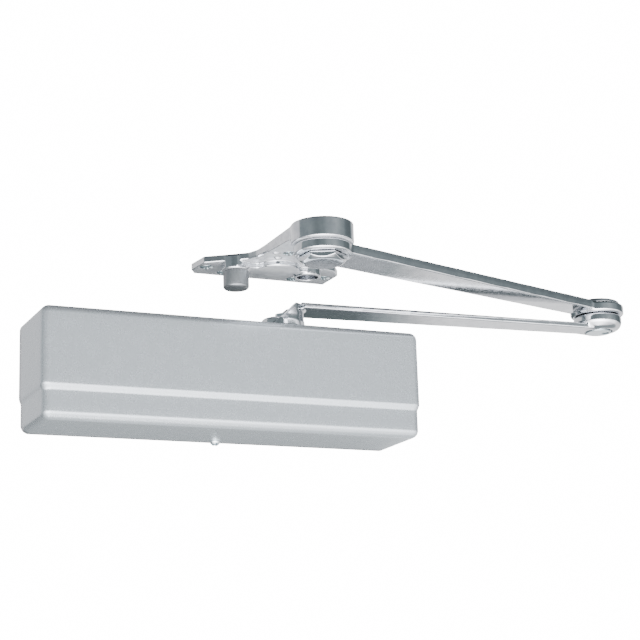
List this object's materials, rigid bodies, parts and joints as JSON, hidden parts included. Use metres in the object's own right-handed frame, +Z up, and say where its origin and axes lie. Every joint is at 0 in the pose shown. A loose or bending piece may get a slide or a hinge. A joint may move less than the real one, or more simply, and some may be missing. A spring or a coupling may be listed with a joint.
{
  "type": "overhead door closer",
  "caption": "Overhead door closer: silver covered hydraulic body on the door, double lever arm, and a ribbed stop bracket that screws under the door frame.",
  "frame": {"origin": "centre of the four body screw holes, on the plane of the door's face", "axes": "+X along the door towards the elbow, +Y into the door, +Z up"},
  "size_m": [0.5333, 0.1675, 0.1522],
  "materials": {
    "satin_silver_paint": "satin silver paint with a fine mottle",
    "zinc_sheet": "zinc plated sheet steel",
    "zinc_steel": "bright zinc plated steel",
    "cast_iron": "as cast, with machined faces",
    "turned_steel": "turned steel, oiled",
    "bearing_steel": "ground bearing steel",
    "spring_steel": "dark oil tempered spring wire",
    "valve_brass": "turned brass",
    "bronze": "sintered bronze",
    "black_rubber": "nitrile rubber",
    "plated_forging": "bright plated forged steel",
    "plated_casting": "bright plated cast steel",
    "satin_steel": "satin steel"
  },
  "bodies": {
    "closer": {"cover": "satin_silver_paint", "cover_clip": "zinc_sheet", "cover_screw": "zinc_steel", "body_casting": "cast_iron", "spring_end_plug": "turned_steel", "spring_end_plug_ring": "black_rubber", "valve_end_plug": "turned_steel", "valve_end_plug_ring": "black_rubber", "upper_bearing": "bearing_steel", "upper_seal": "black_rubber", "upper_bearing_nut": "turned_steel", "lower_bearing": "bearing_steel", "lower_seal": "black_rubber", "lower_bearing_nut": "turned_steel", "closing_spring": "spring_steel"},
    "piston": {"rack_piston": "turned_steel", "piston_ring": "black_rubber", "check_ball": "bearing_steel", "check_ball_retainer": "turned_steel"},
    "spring_seat": {"spring_seat": "turned_steel"},
    "power_screw": {"power_screw": "zinc_steel"},
    "closing_valve": {"closing_valve": "valve_brass", "closing_valve_ring": "black_rubber"},
    "latching_valve": {"latching_valve": "valve_brass", "latching_valve_ring": "black_rubber"},
    "backcheck_valve": {"backcheck_valve": "valve_brass", "backcheck_valve_ring": "black_rubber"},
    "main_arm": {"pinion_spindle": "turned_steel", "main_arm": "plated_forging", "arm_washer": "zinc_steel", "arm_screw": "zinc_steel", "elbow_pin": "zinc_steel", "elbow_cap": "plated_forging"},
    "forearm": {"forearm": "plated_forging", "elbow_bush": "bronze", "pivot_bush": "bronze"},
    "bracket": {"soffit_bracket": "plated_casting", "frame_screws": "zinc_steel", "pivot_stud": "turned_steel", "pivot_cap": "plated_forging", "pivot_washer": "satin_steel", "stop_post": "turned_steel", "stop_bumper": "satin_steel"}
  },
  "joints": [
    {"name": "spindle_turn", "type": "hinge", "parent": "closer", "child": "main_arm", "pos_m": [0.0522, -0.033, 0], "axis": [0, 0, 1], "range_deg": [-170, 0], "stiffness_Nm_per_rad": 6, "springref_deg": 34.38},
    {"name": "piston_slide", "type": "slide", "parent": "closer", "child": "piston", "axis": [1, 0, 0], "range_m": [-0.0357, 0.0005], "deforming": ["closing_spring"]},
    {"name": "elbow", "type": "hinge", "parent": "main_arm", "child": "forearm", "pos_m": [0.34946, -0.05097, 0.08], "axis": [0, 0, 1], "range_deg": [-20, 150]},
    {"name": "bracket_pivot", "type": "hinge", "parent": "forearm", "child": "bracket", "pos_m": [0.04046, -0.14297, 0.082], "axis": [0, 0, 1], "range_deg": [-75, 90]},
    {"name": "power_turn", "type": "hinge", "parent": "closer", "child": "power_screw", "pos_m": [-0.138, -0.033, 0], "axis": [-1, 0, 0], "range_deg": [-721, 721]},
    {"name": "seat_slide", "type": "slide", "parent": "closer", "child": "spring_seat", "axis": [-1, 0, 0], "range_m": [-0.003, 0.003], "deforming": ["closing_spring"]},
    {"name": "closing_valve_turn", "type": "hinge", "parent": "closer", "child": "closing_valve", "pos_m": [0.076, -0.062, -0.024], "axis": [0, -1, 0], "range_deg": [-180, 180]},
    {"name": "latching_valve_turn", "type": "hinge", "parent": "closer", "child": "latching_valve", "pos_m": [0.1, -0.062, -0.024], "axis": [0, -1, 0], "range_deg": [-180, 180]},
    {"name": "backcheck_valve_turn", "type": "hinge", "parent": "closer", "child": "backcheck_valve", "pos_m": [0.124, -0.062, -0.024], "axis": [0, -1, 0], "range_deg": [-180, 180]}
  ],
  "couplings": [
    {"joint": "piston_slide", "follows": "spindle_turn", "m_per_rad": 0.012},
    {"joint": "power_turn", "follows": "seat_slide", "rad_per_m": 4188.8}
  ]
}
